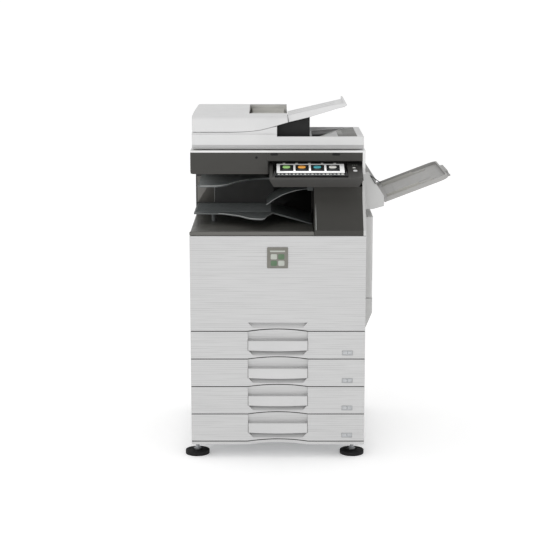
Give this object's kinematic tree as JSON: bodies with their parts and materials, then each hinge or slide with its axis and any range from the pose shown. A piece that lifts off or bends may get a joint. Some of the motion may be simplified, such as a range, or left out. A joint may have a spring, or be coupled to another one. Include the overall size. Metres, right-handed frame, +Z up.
{
  "type": "photocopier",
  "caption": "Floor-standing A3 photocopier: stacked paper trays, front cover, output bay, scanner with tilting touch panel, document feeder and side bypass tray.",
  "frame": {"origin": "floor level at the centre of the four levelling pads", "axes": "+X to the right as seen from the front, +Y to the back, +Z up"},
  "size_m": [0.9174, 0.673, 1.205],
  "materials": {
    "front_panels": "light grey, finely ribbed",
    "light_plastic": "fine texture",
    "feeder_white": "satin",
    "bypass_grey": "satin",
    "guide_grey": "satin",
    "dark_plastic": "fine texture",
    "panel_grey": "fine texture",
    "tray_grey": "satin",
    "black_plastic": "satin",
    "pan_plastic": "satin",
    "key_white": "gloss",
    "screen": "polished, with a lit display behind",
    "platen_glass": "polished",
    "foam_pad": "soft foam with a smooth white skin",
    "badge_metal": "brushed",
    "zinc_steel": "zinc plated",
    "polished_steel": "polished",
    "rubber": "matte",
    "belt_rubber": "semi gloss film",
    "drum_coating": "photoconductor coating"
  },
  "bodies": {
    "root": {"base_plate": "zinc_steel", "base_skirt": "front_panels", "bay_rear_wall": "dark_plastic", "bypass_housing": "light_plastic", "drum_units": "drum_coating", "engine_shelf": "zinc_steel", "flap_lugs": "tray_grey", "fuser_unit": "black_plastic", "hinge_brackets": "zinc_steel", "left_cover": "light_plastic", "levelling_bolts": "zinc_steel", "output_floor": "dark_plastic", "output_tray": "tray_grey", "platen_glass": "platen_glass", "power_inlet": "black_plastic", "rear_cover": "light_plastic", "rear_frame_plate": "zinc_steel", "right_cover": "light_plastic", "right_pillar": "dark_plastic", "rubber_feet": "rubber", "scan_rails": "polished_steel", "scanner_case": "light_plastic", "scanner_fascia": "dark_plastic", "separator_tray": "tray_grey", "side_frame_plates": "zinc_steel", "toner_cartridges": "black_plastic", "transfer_belt": "belt_rubber", "tray_runners": "dark_plastic"},
    "front_cover": {"front_cover": "front_panels", "front_badge": "badge_metal"},
    "tray_1": {"tray_front_1": "front_panels", "tray_pan_1": "pan_plastic"},
    "tray_2": {"tray_front_2": "front_panels", "tray_pan_2": "pan_plastic"},
    "tray_3": {"tray_front_3": "front_panels", "tray_pan_3": "pan_plastic"},
    "tray_4": {"tray_front_4": "front_panels", "tray_pan_4": "pan_plastic"},
    "lift_plate_1": {"lift_plate_1": "zinc_steel"},
    "lift_plate_2": {"lift_plate_2": "zinc_steel"},
    "lift_plate_3": {"lift_plate_3": "zinc_steel"},
    "lift_plate_4": {"lift_plate_4": "zinc_steel"},
    "scan_carriage": {"scan_carriage": "black_plastic"},
    "operation_panel": {"panel_housing": "panel_grey", "touch_screen": "screen"},
    "home_key": {"home_key": "key_white"},
    "document_feeder": {"adf_base": "feeder_white", "platen_pad": "foam_pad", "document_tray": "feeder_white", "tray_support": "black_plastic"},
    "feeder_roller": {"adf_roller": "rubber"},
    "feeder_cover": {"feeder_cover": "feeder_white"},
    "document_guide_front": {"document_guide_front": "guide_grey"},
    "document_guide_rear": {"document_guide_rear": "guide_grey"},
    "exit_flap": {"exit_flap": "tray_grey"},
    "exit_roller": {"exit_roller": "rubber"},
    "right_door": {"right_door": "light_plastic"},
    "lower_right_door": {"lower_right_door": "light_plastic"},
    "bypass_tray": {"bypass_tray": "bypass_grey"},
    "bypass_extension": {"bypass_extension": "bypass_grey"}
  },
  "joints": [
    {"name": "front_cover_hinge", "type": "hinge", "parent": "root", "child": "front_cover", "pos_m": [0.011, -0.317, 0.4625], "axis": [1, 0, 0], "range_deg": [0, 90]},
    {"name": "tray_1_slide", "type": "slide", "parent": "root", "child": "tray_1", "axis": [0, -1, 0], "range_m": [0, 0.4]},
    {"name": "lift_plate_1_hinge", "type": "hinge", "parent": "tray_1", "child": "lift_plate_1", "pos_m": [-0.237, -0.025, 0.367], "axis": [0, -1, 0], "range_deg": [0, 7]},
    {"name": "tray_2_slide", "type": "slide", "parent": "root", "child": "tray_2", "axis": [0, -1, 0], "range_m": [0, 0.4]},
    {"name": "lift_plate_2_hinge", "type": "hinge", "parent": "tray_2", "child": "lift_plate_2", "pos_m": [-0.237, -0.025, 0.2705], "axis": [0, -1, 0], "range_deg": [0, 7]},
    {"name": "tray_3_slide", "type": "slide", "parent": "root", "child": "tray_3", "axis": [0, -1, 0], "range_m": [0, 0.4]},
    {"name": "lift_plate_3_hinge", "type": "hinge", "parent": "tray_3", "child": "lift_plate_3", "pos_m": [-0.237, -0.025, 0.174], "axis": [0, -1, 0], "range_deg": [0, 7]},
    {"name": "tray_4_slide", "type": "slide", "parent": "root", "child": "tray_4", "axis": [0, -1, 0], "range_m": [0, 0.4]},
    {"name": "lift_plate_4_hinge", "type": "hinge", "parent": "tray_4", "child": "lift_plate_4", "pos_m": [-0.237, -0.025, 0.0775], "axis": [0, -1, 0], "range_deg": [0, 7]},
    {"name": "scan_carriage_slide", "type": "slide", "parent": "root", "child": "scan_carriage", "axis": [1, 0, 0], "range_m": [0, 0.41]},
    {"name": "operation_panel_tilt", "type": "hinge", "parent": "root", "child": "operation_panel", "pos_m": [0.141, -0.19, 0.992], "axis": [1, 0, 0], "range_deg": [0, 20]},
    {"name": "home_key_press", "type": "slide", "parent": "operation_panel", "child": "home_key", "axis": [0, 0.2319, -0.9727], "range_m": [0, 0.0014], "stiffness_N_per_m": 300, "springref_m": -0.003},
    {"name": "document_feeder_hinge", "type": "hinge", "parent": "root", "child": "document_feeder", "pos_m": [0.011, 0.329, 1.05], "axis": [-1, 0, 0], "range_deg": [0, 70]},
    {"name": "feeder_roller_spin", "type": "hinge", "parent": "document_feeder", "child": "feeder_roller", "pos_m": [-0.049, 0.025, 1.106], "axis": [0, 1, 0], "continuous": true},
    {"name": "feeder_cover_hinge", "type": "hinge", "parent": "document_feeder", "child": "feeder_cover", "pos_m": [-0.2695, 0.025, 1.117], "axis": [0, -1, 0], "range_deg": [0, 75]},
    {"name": "document_guide_front_slide", "type": "slide", "parent": "feeder_cover", "child": "document_guide_front", "axis": [0, 1, 0], "range_m": [0, 0.045]},
    {"name": "document_guide_rear_slide", "type": "slide", "parent": "feeder_cover", "child": "document_guide_rear", "axis": [0, -1, 0], "range_m": [0, 0.045]},
    {"name": "exit_flap_hinge", "type": "hinge", "parent": "root", "child": "exit_flap", "pos_m": [0.119, -0.025, 0.903], "axis": [0, 1, 0], "range_deg": [0, 10]},
    {"name": "exit_roller_spin", "type": "hinge", "parent": "root", "child": "exit_roller", "pos_m": [0.147, -0.05, 0.905], "axis": [0, 1, 0], "continuous": true},
    {"name": "right_door_hinge", "type": "hinge", "parent": "root", "child": "right_door", "pos_m": [0.3125, 0.289, 0.67], "axis": [0, 0, 1], "range_deg": [0, 80]},
    {"name": "lower_right_door_hinge", "type": "hinge", "parent": "root", "child": "lower_right_door", "pos_m": [0.3125, 0.289, 0.477], "axis": [0, 0, 1], "range_deg": [0, 80]},
    {"name": "bypass_tray_hinge", "type": "hinge", "parent": "root", "child": "bypass_tray", "pos_m": [0.363, 0.045, 0.866], "axis": [0, -1, 0], "range_deg": [0, 69]},
    {"name": "bypass_extension_slide", "type": "slide", "parent": "bypass_tray", "child": "bypass_extension", "axis": [0.9336, 0, 0.3584], "range_m": [0, 0.09]}
  ],
  "couplings": [
    {"joint": "document_guide_rear_slide", "follows": "document_guide_front_slide", "ratio": 1}
  ]
}
